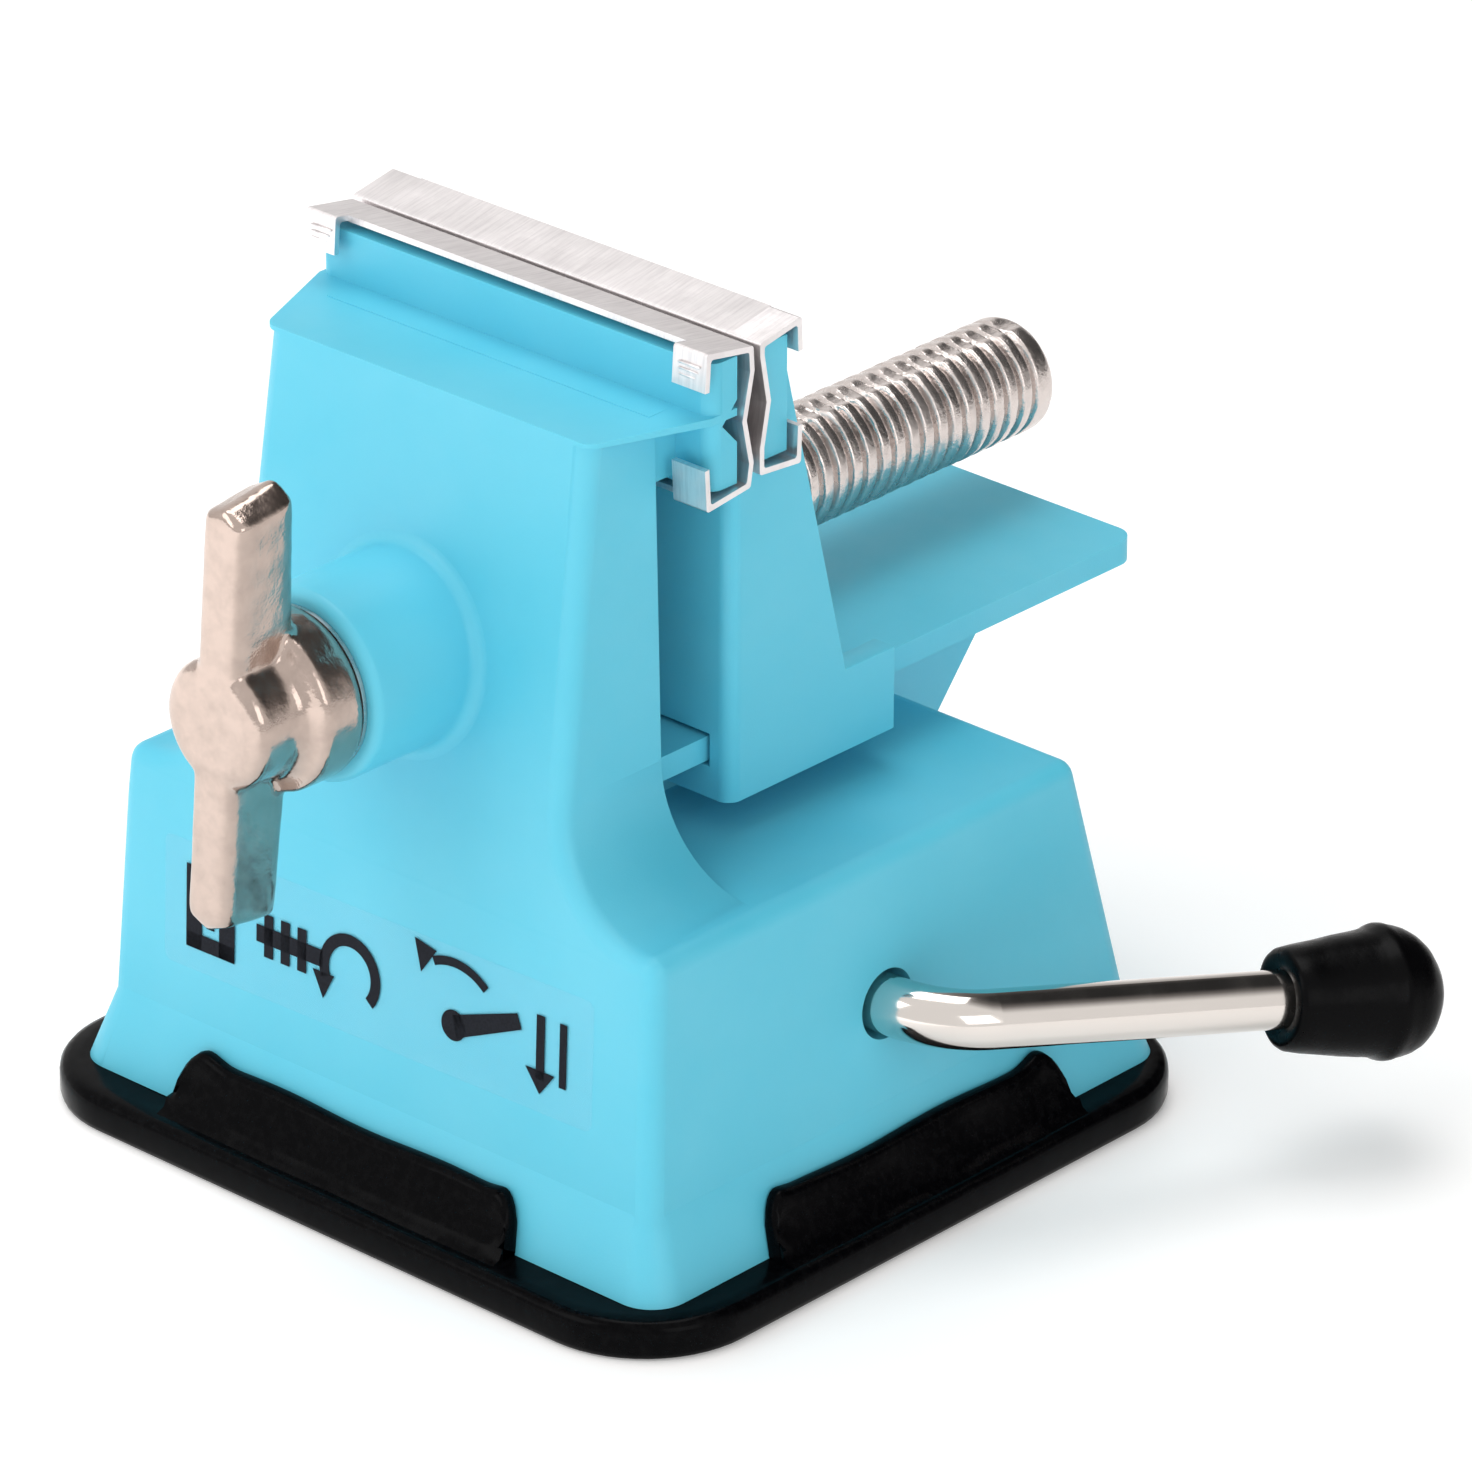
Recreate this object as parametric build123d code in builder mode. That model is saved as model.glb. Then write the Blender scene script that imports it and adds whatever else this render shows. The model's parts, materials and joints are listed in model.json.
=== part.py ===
from build123d import *
import os
from math import asin, cos, hypot, sin

# Suction-base bench vise for holding a circuit board on edge.  Millimetres.
#
# +Z is up and the origin is the centre of the suction pad's flat underside.
# The wing handle faces -Y, the moving jaw slides towards +Y, and the suction
# lever swings about an axis along X, on the +X side.  The jaws are drawn closed.

os.makedirs("parts", exist_ok=True)

# ---------------------------------------------------------------- dimensions
# Suction pad and its finger tabs
pad_x, pad_y, pad_t, pad_r = 58.0, 54.8, 2.6, 8.4
tab_t, tab_top, tab_half = 1.2, 6.4, 15.0

# Base shell: height, half width, front y and rear y of its three outlines
foot = (pad_t, 26.1, -24.1, 25.3)
skirt = (8.0, 24.15, -22.4, 23.4)
deck = (25.2, 23.5, -21.1, 18.7)
wall, edge_r, foot_r = 2.2, 1.3, 2.7

# Upright: its front leans back more than the base's front, with an easy curve between
upright_top, upright_front, upright_rear = 56.0, -16.95, -11.0
upright_half_top, upright_half_low, flare_r = 13.95, 14.5, 7.6
bend_z, bend_blend_r = 22.5, 60.0

# Clamping screw, its boss and its handle
screw_z, screw_r, screw_tip = 39.1, 4.05, 38.95
thread_pitch, thread_depth = 1.4, 0.55
run_clear = 0.07
boss_r, boss_face = 6.45, -27.9
collar_r, collar_rear, collar_front = 5.8, -28.3, -31.8
hub_r, hub_front, handle_tilt = 4.3, -36.1, 4.7

# Jaws: parting plane, half width, and the sheet-metal faces either side of it
jaw_half, jaw_low, jaw_top = 17.0, 51.2, 59.8
part_y, face_gap = -5.5, 0.15
sheet_t, liner_half = 0.4, 17.6
jaw_half_body, jaw_bottom, guide_rear = 14.9, 27.6, 10.5

# Guide rail and the web under it
rail_half, rail_low, rail_top, rail_rear = 12.85, 30.1, 31.8, 36.9
web_half = 7.0
slide_clear = 0.3

# Suction lever, its shaft bearings and its eccentric
lever_z, rod_r, lever_hole_r = 14.8, 1.95, 2.4
lever_out, lever_drop = 0.404, 7.6
throw, cam_r = 1.25, 4.3
rib_in, rib_out = 13.0, 16.0
bush_r = 3.2


def outline(z):
    """Half width, front and rear of the base's tapered sides at height z."""
    t = (z - skirt[0]) / (deck[0] - skirt[0])
    return tuple(low + (high - low) * t for low, high in zip(skirt[1:], deck[1:]))


def front_y(z):
    """Front face of the base and the upright, which leans back more above the bend."""
    lean = (upright_front - deck[2]) / (upright_top - deck[0])
    at_bend = deck[2] + lean * (bend_z - deck[0])
    if z > bend_z:
        return at_bend + lean * (z - bend_z)
    return skirt[2] + (at_bend - skirt[2]) * (z - skirt[0]) / (bend_z - skirt[0])


# ------------------------------------------------------------- body housing
cap_low, cap_rise = 55.8, 0.5
block_front, block_rear = -9.1, part_y - 1.3
groove_z, groove_half, groove_depth = 55.45, 1.45, 1.35

with BuildPart() as cap:
    # Shoulder that widens from the upright to the jaw block
    with BuildSketch(Plane.YZ):
        with BuildLine():
            Polyline(
                (front_y(cap_low), cap_low),
                (front_y(cap_low) + 0.05, cap_low + 0.3),
                (block_front, cap_low + cap_rise),
                (block_rear, cap_low + cap_rise),
                (block_rear, cap_low),
                close=True,
            )
        make_face()
    extrude(amount=jaw_half, both=True)
    with BuildSketch(Plane.XY.offset(cap_low - 1)) as cap_plan:
        with BuildLine():
            Polyline(
                (-upright_half_top, front_y(cap_low) - 0.01),
                (upright_half_top, front_y(cap_low) - 0.01),
                (jaw_half, block_front),
                (jaw_half, block_rear),
                (-jaw_half, block_rear),
                (-jaw_half, block_front),
                close=True,
            )
        make_face()
        fillet(cap_plan.vertices().group_by(Axis.Y)[0], edge_r)
    extrude(amount=6, mode=Mode.INTERSECT)

with BuildPart() as jaw_block:
    with BuildSketch(Plane.XY.offset(jaw_low)):
        with Locations((0, (block_front + block_rear) / 2)):
            Rectangle(2 * jaw_half, block_rear - block_front)
    extrude(amount=jaw_top - jaw_low)
    fillet(jaw_block.edges().filter_by(Axis.Z).group_by(Axis.Y)[0], 1.0)
    with BuildSketch(Plane.YZ):
        with BuildLine():
            Polyline(
                (block_rear + 0.01, groove_z + groove_half),
                (block_rear - groove_depth, groove_z),
                (block_rear + 0.01, groove_z - groove_half),
                close=True,
            )
        make_face()
    extrude(amount=jaw_half + 1, both=True, mode=Mode.SUBTRACT)

with BuildPart() as core:
    # Hollow of the base and upright, open downwards
    for z, half, front, rear in (foot, skirt):
        with BuildSketch(Plane.XY.offset(z)):
            with Locations((0, (front + rear) / 2)):
                Rectangle(2 * (half - wall), rear - front - 2 * wall)
    loft(ruled=True)
    for z in (skirt[0], deck[0] - wall):
        half, front, rear = outline(z)
        with BuildSketch(Plane.XY.offset(z)):
            with Locations((0, (front + rear) / 2)):
                Rectangle(2 * (half - wall), rear - front - 2 * wall)
    loft(ruled=True)
    upright_core_top = 51.0
    with BuildSketch(Plane.YZ):
        with BuildLine():
            Polyline(
                (front_y(deck[0] - 4) + wall, deck[0] - 4),
                (front_y(upright_core_top) + wall, upright_core_top),
                (upright_rear - wall, upright_core_top),
                (upright_rear - wall, deck[0] - 4),
                close=True,
            )
        make_face()
    extrude(amount=upright_half_top - wall, both=True)

with BuildPart() as housing:
    # Tapered block, its front bent back a little below the deck
    with BuildSketch(Plane.YZ) as side_view:
        with BuildLine():
            Polyline(
                (front_y(foot[0]), foot[0]), (front_y(bend_z), bend_z), (upright_front, upright_top),
                (outline(upright_top)[2], upright_top), (outline(foot[0])[2], foot[0]),
                close=True,
            )
        make_face()
        fillet(side_view.vertices().sort_by_distance((front_y(bend_z), bend_z, 0))[0], bend_blend_r)
    extrude(amount=40, both=True)
    with BuildSketch(Plane.XZ):
        with BuildLine():
            Polyline(
                (-outline(foot[0])[0], foot[0]), (-outline(upright_top)[0], upright_top),
                (outline(upright_top)[0], upright_top), (outline(foot[0])[0], foot[0]),
                close=True,
            )
        make_face()
    extrude(amount=60, both=True, mode=Mode.INTERSECT)
    # Room above the deck, behind the upright
    with BuildSketch(Plane.XY.offset(deck[0])):
        with Locations((0, upright_rear)):
            Rectangle(80, 60, align=(Align.CENTER, Align.MIN))
    extrude(amount=60, mode=Mode.SUBTRACT)
    # Room beside the upright, down to the flares at its foot
    flare_end = (upright_half_low + flare_r, deck[0])
    flare_start = (upright_half_low, deck[0] + flare_r)
    with BuildSketch(Plane.XZ):
        with BuildLine():
            Polyline(
                flare_start, (upright_half_top, upright_top), (upright_half_top, 70), (40, 70),
                (40, deck[0]), flare_end,
            )
            RadiusArc(flare_end, flare_start, flare_r)
        make_face()
        mirror(about=Plane.YZ)
    extrude(amount=50, both=True, mode=Mode.SUBTRACT)
    # One soft radius on the corner posts, the deck's rim and the front of the upright
    corners = housing.edges().filter_by(
        lambda e: foot[0] + 1 < e.center().Z < deck[0] - 0.1 and abs(e.center().X) > deck[1]
    )
    rim = housing.edges().filter_by(
        lambda e: abs(e.center().Z - deck[0]) < 0.1
        and abs(e.center().Y - upright_rear) > 0.5
        and abs(abs(e.center().X) - flare_end[0]) > 0.1
    )
    cheeks = housing.edges().filter_by(
        lambda e: deck[0] + 0.2 < e.center().Z < upright_top - 1
        and e.center().Y < front_y(upright_top) - 0.5
        and abs(e.center().X) > upright_half_top
    )
    fillet(corners + rim + cheeks, edge_r)
    # Flared skirt, which runs on a little way inside the walls above it
    for z, radius in ((foot[0], foot_r), (skirt[0] + 0.8, edge_r + 0.2)):
        t = (z - foot[0]) / (skirt[0] - foot[0])
        half, front, rear = (low + (high - low) * t for low, high in zip(foot[1:], skirt[1:]))
        with BuildSketch(Plane.XY.offset(z)):
            with Locations((0, (front + rear) / 2)):
                RectangleRounded(2 * half, rear - front, radius)
    loft(ruled=True)
    add(cap.part)
    add(jaw_block.part)
    # Neck between the upright and the jaw block
    with BuildSketch(Plane.XY.offset(jaw_low + 0.5)):
        with Locations((0, upright_rear - 0.5)):
            Rectangle(
                2 * upright_half_top, block_front - upright_rear + 1, align=(Align.CENTER, Align.MIN)
            )
    extrude(amount=cap_low - jaw_low)
    # Web under the rail: it stands on the deck and leans back to the base's rear wall
    web_low = 17.0
    web_rear = 31.1
    with BuildSketch(Plane.YZ):
        with BuildLine():
            Polyline(
                (upright_rear - 1, rail_low + 0.1), (web_rear, rail_low + 0.1),
                (web_rear - 0.85 * (rail_low - web_low), web_low),
                (web_rear - 0.85 * (rail_low - web_low) - 3, web_low),
                (deck[3] - 4, deck[0] - 0.5), (upright_rear - 1, deck[0] - 0.5),
                close=True,
            )
        make_face()
    extrude(amount=web_half, both=True)
    with BuildSketch(Plane.XY.offset(rail_low)):
        with Locations((0, upright_rear - 1)):
            Rectangle(2 * rail_half, rail_rear - upright_rear + 1, align=(Align.CENTER, Align.MIN))
    extrude(amount=rail_top - rail_low)
    tips = housing.edges().filter_by(Axis.Z).filter_by(
        lambda e: abs(e.center().Y - rail_rear) < 0.01
    )
    fillet(tips, 1.6)
    add(core.part, mode=Mode.SUBTRACT)
    # Screw boss outside, screw tube inside
    with BuildSketch(Plane.XZ.offset(-boss_face)):
        with Locations((0, screw_z)):
            Circle(boss_r)
    extrude(amount=boss_face - upright_rear)
    boss_rim = housing.edges().filter_by(GeomType.CIRCLE).filter_by(
        lambda e: abs(e.center().Y - boss_face) < 0.01
    )
    fillet(boss_rim, 0.7)
    boss_root = housing.edges().filter_by(
        lambda e: e.length > 30
        and abs(e.center().Z - screw_z) < 1
        and abs(e.center().Y - front_y(screw_z)) < 0.5
    )
    fillet(boss_root, 0.9)
    with BuildSketch(Plane.XZ.offset(40)):
        with Locations((0, screw_z)):
            Circle(screw_r + run_clear)
    extrude(amount=-60, mode=Mode.SUBTRACT)
    # Bearing ribs that hang from the deck, and the lever's hole in the side wall
    for side in (-1, 1):
        with BuildSketch(Plane.YZ.offset(side * rib_in)):
            with Locations((0, lever_z)):
                Circle(bush_r + 2.2)
            with Locations((0, lever_z)):
                Rectangle(
                    2 * (bush_r + 2.2), deck[0] - wall / 2 - lever_z, align=(Align.CENTER, Align.MIN)
                )
        extrude(amount=side * (rib_out - rib_in))
    with BuildSketch(Plane.YZ):
        with Locations((0, lever_z)):
            Circle(bush_r)
    extrude(amount=rib_out + 1, both=True, mode=Mode.SUBTRACT)
    with BuildSketch(Plane.YZ.offset(rib_out + 1)):
        with Locations((0, lever_z)):
            Circle(lever_hole_r)
    extrude(amount=20, mode=Mode.SUBTRACT)
housing.part.label = "body_housing"
export_step(housing.part, "parts/body_housing.step")

# --------------------------------------------------------------- moving jaw
body_front = part_y + 0.4
head_front, head_rear, head_low = part_y + 0.65, part_y + 3.3, jaw_low + 0.75
rear_lean = 0.252
cheek_top, lip_in = 33.4, 9.3


def jaw_rear(z):
    """Rear face of the moving jaw, which leans forward towards its top."""
    return 5.25 - rear_lean * (z - 35.65)


with BuildPart() as moving_jaw:
    body_low = rail_top + slide_clear
    with BuildSketch(Plane.YZ):
        with BuildLine():
            Polyline(
                (body_front, body_low), (jaw_rear(body_low), body_low),
                (jaw_rear(jaw_top), jaw_top), (head_front, jaw_top),
                (head_front, jaw_low), (body_front, jaw_low - 0.4),
                close=True,
            )
        make_face()
    extrude(amount=jaw_half_body, both=True)
    # Guide shoes: cheeks beside the rail and lips under it
    for side in (-1, 1):
        with BuildSketch(Plane.XZ.offset(-body_front)):
            with BuildLine():
                Polyline(
                    (side * jaw_half_body, jaw_bottom), (side * jaw_half_body, cheek_top),
                    (side * (rail_half + slide_clear), cheek_top),
                    (side * (rail_half + slide_clear), rail_low - slide_clear),
                    (side * lip_in, rail_low - slide_clear), (side * lip_in, jaw_bottom),
                    close=True,
                )
            make_face()
        extrude(amount=-(guide_rear - body_front))
    fillet(
        moving_jaw.edges().filter_by(Axis.Z).filter_by(
            lambda e: e.center().Y < body_front + 0.01 and abs(e.center().X) > jaw_half_body - 0.01
        ),
        1.0,
    )
    # Jaw head, wider than the body
    with BuildSketch(Plane.XY.offset(head_low)):
        with Locations((0, (head_front + head_rear) / 2)):
            Rectangle(2 * jaw_half, head_rear - head_front)
    extrude(amount=jaw_top - head_low)
    with BuildSketch(Plane.YZ):
        with BuildLine():
            Polyline(
                (head_front - 0.01, 59.4), (head_front + 0.6, 56.2), (head_front - 0.01, 53.2),
                close=True,
            )
        make_face()
    extrude(amount=jaw_half + 1, both=True, mode=Mode.SUBTRACT)
    # Pocket for the nut and passage for the screw
    nut_flats, nut_t, nut_front = 13.0, 5.8, body_front + 0.4
    with BuildSketch(Plane.XZ.offset(-body_front + 1)):
        with Locations((0, screw_z)):
            RegularPolygon(nut_flats / 2 + 0.02, 6, major_radius=False)
    extrude(amount=-(nut_front - body_front + nut_t + 1.02), mode=Mode.SUBTRACT)
    with BuildSketch(Plane.XZ.offset(20)):
        with Locations((0, screw_z)):
            Circle(screw_r + 0.45)
    extrude(amount=-40, mode=Mode.SUBTRACT)
moving_jaw.part.label = "moving_jaw"
export_step(moving_jaw.part, "parts/moving_jaw.step")

with BuildPart() as jaw_nut:
    with BuildSketch(Plane.XZ.offset(-nut_front)):
        with Locations((0, screw_z)):
            RegularPolygon(nut_flats / 2, 6, major_radius=False)
            Circle(screw_r + 0.09, mode=Mode.SUBTRACT)
    extrude(amount=-nut_t)
jaw_nut.part.label = "jaw_nut"
export_step(jaw_nut.part, "parts/jaw_nut.step")

# ------------------------------------------------------- sheet-metal liners
bend_r = 0.22
fixed_left, fixed_right, tab_in = -17.15, 17.4, 14.6


def beside(path, gap):
    """Corner points of a line run parallel to path, gap to its left."""
    turned = []
    for i, (y, z) in enumerate(path):
        before, after = path[max(i - 1, 0)], path[min(i + 1, len(path) - 1)]
        normals = []
        for (y0, z0), (y1, z1) in ((before, (y, z)), ((y, z), after)):
            length = hypot(y1 - y0, z1 - z0)
            if length:
                normals.append(((z0 - z1) / length, (y1 - y0) / length))
        ny, nz = sum(n[0] for n in normals), sum(n[1] for n in normals)
        scale = gap * len(normals) / (ny * ny + nz * nz)
        turned.append((y + ny * scale, z + nz * scale))
    return turned


face_y = part_y - face_gap - sheet_t / 2
fixed_face = [
    (-8.85, 60.58), (face_y - 0.1, 60.1), (face_y, 58.6), (face_y - 0.7, 55.4),
    (face_y - 0.05, 52.4), (face_y - 0.3, 50.95), (-9.2, 50.6),
]
fixed_tabs = [(-9.95, 58.4), (-9.78, 60.747)] + fixed_face[1:-1] + [(-9.78, 50.53), (-9.95, 53.2)]
face_y = part_y + face_gap + sheet_t / 2
tab_y = head_rear + 0.45
moving_face = [
    (tab_y + 0.15, 60.796), (face_y, 60.15), (face_y, 59.4), (face_y + 0.6, 56.2),
    (face_y, 53.2), (face_y, jaw_low - 0.1),
]
moving_tabs = [(tab_y + 0.1, 58.7), (tab_y, 60.767)] + moving_face[1:-1]
moving_tabs += [(face_y, 51.6), (tab_y, 51.3), (tab_y + 0.1, 53.65)]

with BuildPart() as fixed_liner:
    for path, low, high in (
        (fixed_face, -tab_in, tab_in),
        (fixed_tabs, fixed_left, -tab_in), (fixed_tabs, tab_in, fixed_right),
    ):
        with BuildSketch(Plane.YZ.offset(low)):
            with BuildLine():
                left = FilletPolyline(*beside(path, sheet_t / 2), radius=bend_r)
                right = FilletPolyline(*beside(path, -sheet_t / 2), radius=bend_r)
                Line(left @ 0, right @ 0)
                Line(left @ 1, right @ 1)
            make_face()
        extrude(amount=high - low)
fixed_liner.part.label = "fixed_jaw_liner"
export_step(fixed_liner.part, "parts/fixed_jaw_liner.step")

with BuildPart() as moving_liner:
    tab_from = jaw_half_body + 0.2
    for path, low, high in (
        (moving_face, -tab_from, tab_from),
        (moving_tabs, -liner_half, -tab_from), (moving_tabs, tab_from, liner_half),
    ):
        with BuildSketch(Plane.YZ.offset(low)):
            with BuildLine():
                left = FilletPolyline(*beside(path, sheet_t / 2), radius=bend_r)
                right = FilletPolyline(*beside(path, -sheet_t / 2), radius=bend_r)
                Line(left @ 0, right @ 0)
                Line(left @ 1, right @ 1)
            make_face()
        extrude(amount=high - low)
moving_liner.part.label = "moving_jaw_liner"
export_step(moving_liner.part, "parts/moving_jaw_liner.step")

# -------------------------------------------------- clamp screw and handle
root_r = screw_r - thread_depth
groove_front, groove_rear, groove_r = -10.25, -9.55, 3.2
thread_from, thread_to = -7.8, 36.9
wing_half_t, wing_rear = 1.75, -30.9

# Wings, slanted at their tips
with BuildPart() as wings:
    with BuildSketch(Plane.YZ) as wing_outline:
        with BuildLine():
            Polyline(
                (hub_front, screw_z - 13.7), (hub_front, screw_z + 14.1),
                (wing_rear - 1.0, screw_z + 15.6), (wing_rear, screw_z + 14.6),
                (wing_rear + 0.7, screw_z), (wing_rear, screw_z - 14.0),
                (wing_rear - 1.0, screw_z - 14.9), close=True,
            )
        make_face()
    extrude(amount=wing_half_t, both=True)
    fillet(
        wings.edges().filter_by(Axis.X).filter_by(lambda e: abs(e.center().Z - screw_z) > 1), 0.6
    )
    fillet(wings.edges().filter_by(lambda e: abs(abs(e.center().X) - wing_half_t) < 0.001), 0.4)

with BuildPart() as screw:
    with BuildSketch(Plane.YZ):
        with BuildLine():
            Polyline(
                (hub_front, screw_z), (hub_front, screw_z + hub_r - 0.5),
                (hub_front + 0.5, screw_z + hub_r), (collar_front - 1.1, screw_z + hub_r),
                (collar_front - 0.4, screw_z + hub_r + 0.3), (collar_front, screw_z + hub_r + 0.9),
                (collar_front, screw_z + collar_r - 0.4), (collar_front + 0.4, screw_z + collar_r),
                (collar_rear - 0.4, screw_z + collar_r), (collar_rear, screw_z + collar_r - 0.4),
                (collar_rear, screw_z + screw_r), (groove_front, screw_z + screw_r),
                (groove_front, screw_z + groove_r), (groove_rear, screw_z + groove_r),
                (groove_rear, screw_z + screw_r), (thread_from - 0.7, screw_z + screw_r),
                (thread_from - 0.15, screw_z + root_r), (thread_to + 0.2, screw_z + root_r),
                (thread_to + 0.6, screw_z + screw_r - 0.1), (screw_tip - 0.9, screw_z + screw_r - 0.1),
                (screw_tip - 0.25, screw_z + screw_r - 0.4), (screw_tip, screw_z + screw_r - 1.1),
                (screw_tip, screw_z), close=True,
            )
        make_face()
    revolve(axis=Axis((0, 0, screw_z), (0, 1, 0)))
    add(wings.part)
    # Rolled thread
    with BuildLine():
        spiral = Helix(
            pitch=thread_pitch, height=thread_to - thread_from, radius=root_r,
            center=(0, thread_from, screw_z), direction=(0, 1, 0),
        )
    with BuildSketch(Plane(origin=spiral @ 0, x_dir=(0, 1, 0), z_dir=spiral % 0)):
        with BuildLine():
            Polyline(
                (-0.6, -0.1), (-0.17, thread_depth), (0.17, thread_depth), (0.6, -0.1), close=True
            )
        make_face()
    sweep(path=spiral, is_frenet=True)
    # Flats along the mould's parting line
    for up in (1, -1):
        with BuildSketch(Plane.YZ):
            with Locations(((thread_from + screw_tip) / 2, screw_z + up * (root_r + 0.2 + 1))):
                Rectangle(screw_tip - thread_from + 4, 2)
        extrude(amount=3, both=True, mode=Mode.SUBTRACT)
turned_screw = Pos(0, 0, screw_z) * Rot(0, handle_tilt, 0) * Pos(0, 0, -screw_z) * screw.part
turned_screw.label = "clamp_screw"
export_step(turned_screw, "parts/clamp_screw.step")

# ------------------------------------------------- washers and screw's clip
with BuildPart() as collar_washer:
    with BuildSketch(Plane.XZ.offset(28.25)):
        with Locations((0, screw_z)):
            Circle(5.5)
            Circle(screw_r + run_clear, mode=Mode.SUBTRACT)
    extrude(amount=-0.3)
collar_washer.part.label = "collar_washer"
export_step(collar_washer.part, "parts/collar_washer.step")

with BuildPart() as wall_washer:
    with BuildSketch(Plane.XZ.offset(-upright_rear)):
        with Locations((0, screw_z)):
            Circle(7.0)
            Circle(screw_r + run_clear, mode=Mode.SUBTRACT)
    extrude(amount=-0.65)
wall_washer.part.label = "wall_washer"
export_step(wall_washer.part, "parts/wall_washer.step")

with BuildPart() as screw_clip:
    with BuildSketch(Plane.XZ.offset(-groove_front - 0.05)):
        with Locations((0, screw_z)):
            Circle(5.4)
            Circle(groove_r, mode=Mode.SUBTRACT)
        with Locations((0, screw_z - 4.5)):
            Rectangle(4.4, 6.0, mode=Mode.SUBTRACT)
    extrude(amount=-0.6)
screw_clip.part.label = "screw_clip"
export_step(screw_clip.part, "parts/screw_clip.step")

# --------------------------------------------------------------- suction pad
hug, pad_boss_r, pad_boss_top = 0.05, 12.0, 3.35

with BuildPart() as suction_pad:
    with BuildSketch(Plane.XY):
        RectangleRounded(pad_x, pad_y, pad_r)
    extrude(amount=pad_t)
    fillet(suction_pad.faces().sort_by(Axis.Z)[-1].edges(), 0.8)
    fillet(suction_pad.faces().sort_by(Axis.Z)[0].edges(), 0.3)
    with BuildSketch(Plane.XY.offset(pad_t)):
        Circle(pad_boss_r)
    extrude(amount=pad_boss_top - pad_t)
    # Finger tabs lying against the shell's skirt: side, wall at its foot, wall at the tab's top
    for turn, at_foot, at_top, low, high in (
        (-90, -foot[2], -skirt[2], -16.1, 14.1),
        (0, foot[1], skirt[1], -13.5, tab_half),
        (90, foot[3], skirt[3], -tab_half, tab_half),
        (180, foot[1], skirt[1], -tab_half, tab_half),
    ):
        lean = (at_top - at_foot) / (skirt[0] - foot[0])
        facing = Plane.XZ.rotated((0, 0, turn))
        ends = [(at_foot + hug + lean * (z - foot[0]), z) for z in (pad_t - 0.6, tab_top)]
        middle = (low + high) / 2
        with BuildSketch(facing.offset(-middle if turn in (0, 180) else middle * turn / 90)):
            with BuildLine():
                Polyline(
                    (ends[0][0], pad_t - 0.9), ends[0], ends[1], (ends[1][0] + tab_t, tab_top),
                    (ends[0][0] + tab_t + 0.15, pad_t + 0.2), (ends[0][0] + tab_t + 0.5, pad_t - 0.9),
                    close=True,
                )
            make_face()
        extrude(amount=(high - low) / 2, both=True)
    # Recess for the rivet's head
    with BuildSketch(Plane.XY.offset(2.0)):
        Circle(2.6)
    extrude(amount=3, mode=Mode.SUBTRACT)
    tab_ends = suction_pad.edges().filter_by(
        lambda e: e.center().Z > tab_top - 0.01 and e.length < tab_t + 0.05
    )
    fillet(tab_ends, 1.6)
suction_pad.part.label = "suction_pad"
export_step(suction_pad.part, "parts/suction_pad.step")

with BuildPart() as pad_plate:
    with BuildSketch(Plane.XY.offset(3.4)):
        Circle(11.0)
        Circle(1.5, mode=Mode.SUBTRACT)
    extrude(amount=0.8)
pad_plate.part.label = "pad_plate"
export_step(pad_plate.part, "parts/pad_plate.step")

# ----------------------------------------------------------- suction linkage
plate_top, stem_foot, yoke_half, yoke_top = 4.2, 1.8, 3.0, 20.0
slot_front, slot_rear, slot_low, slot_high = -4.9, 6.1, 8.65, 18.45

with BuildPart() as suction_stem:
    with BuildSketch(Plane.XY.offset(plate_top)):
        Circle(7.0)
    extrude(amount=stem_foot)
    with BuildSketch(Plane.YZ):
        with Locations(((slot_front + slot_rear) / 2, (plate_top + yoke_top) / 2)):
            Rectangle(slot_rear - slot_front + 3.6, yoke_top - plate_top)
    extrude(amount=yoke_half, both=True)
    fillet(
        suction_stem.edges().filter_by(Axis.X).filter_by(lambda e: e.center().Z > yoke_top - 0.01),
        1.5,
    )
    with BuildSketch(Plane.YZ):
        with Locations(((slot_front + slot_rear) / 2, (slot_low + slot_high) / 2)):
            RectangleRounded(slot_rear - slot_front, slot_high - slot_low, 0.8)
    extrude(amount=yoke_half + 1, both=True, mode=Mode.SUBTRACT)
    with BuildSketch(Plane.XY.offset(plate_top)):
        Circle(1.5)
    extrude(amount=stem_foot, mode=Mode.SUBTRACT)
suction_stem.part.label = "suction_stem"
export_step(suction_stem.part, "parts/suction_stem.step")

with BuildPart() as stem_rivet:
    with BuildSketch(Plane.XY.offset(2.5)):
        Circle(2.2)
    extrude(amount=0.9)
    with BuildSketch(Plane.XY.offset(3.4)):
        Circle(1.5)
    extrude(amount=2.6)
stem_rivet.part.label = "stem_rivet"
export_step(stem_rivet.part, "parts/stem_rivet.step")

with BuildPart() as eccentric_cam:
    with BuildSketch(Plane.YZ):
        with Locations((0, lever_z - throw)):
            Circle(cam_r)
        with Locations((0, lever_z)):
            Circle(rod_r + 0.01, mode=Mode.SUBTRACT)
    extrude(amount=yoke_half - 0.2, both=True)
    with BuildSketch(Plane.XY):
        Circle(0.77)
    extrude(amount=30, mode=Mode.SUBTRACT)
eccentric_cam.part.label = "eccentric_cam"
export_step(eccentric_cam.part, "parts/eccentric_cam.step")

with BuildPart() as cam_pin:
    with BuildSketch(Plane.XY.offset(9.6)):
        Circle(0.75)
    extrude(amount=8.0)
cam_pin.part.label = "cam_pin"
export_step(cam_pin.part, "parts/cam_pin.step")

# ------------------------------------------------- lever, its knob and fixings
shaft_end, clip_groove, clip_groove_r = -18.7, -17.85, 1.45
bend_x, lever_bend_r, knob_from = 27.9, 6.0, 24.6
aim = Vector(lever_out, 0.907, -0.132).normalized()
bend_at = Vector(bend_x, 0, lever_z)

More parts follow.
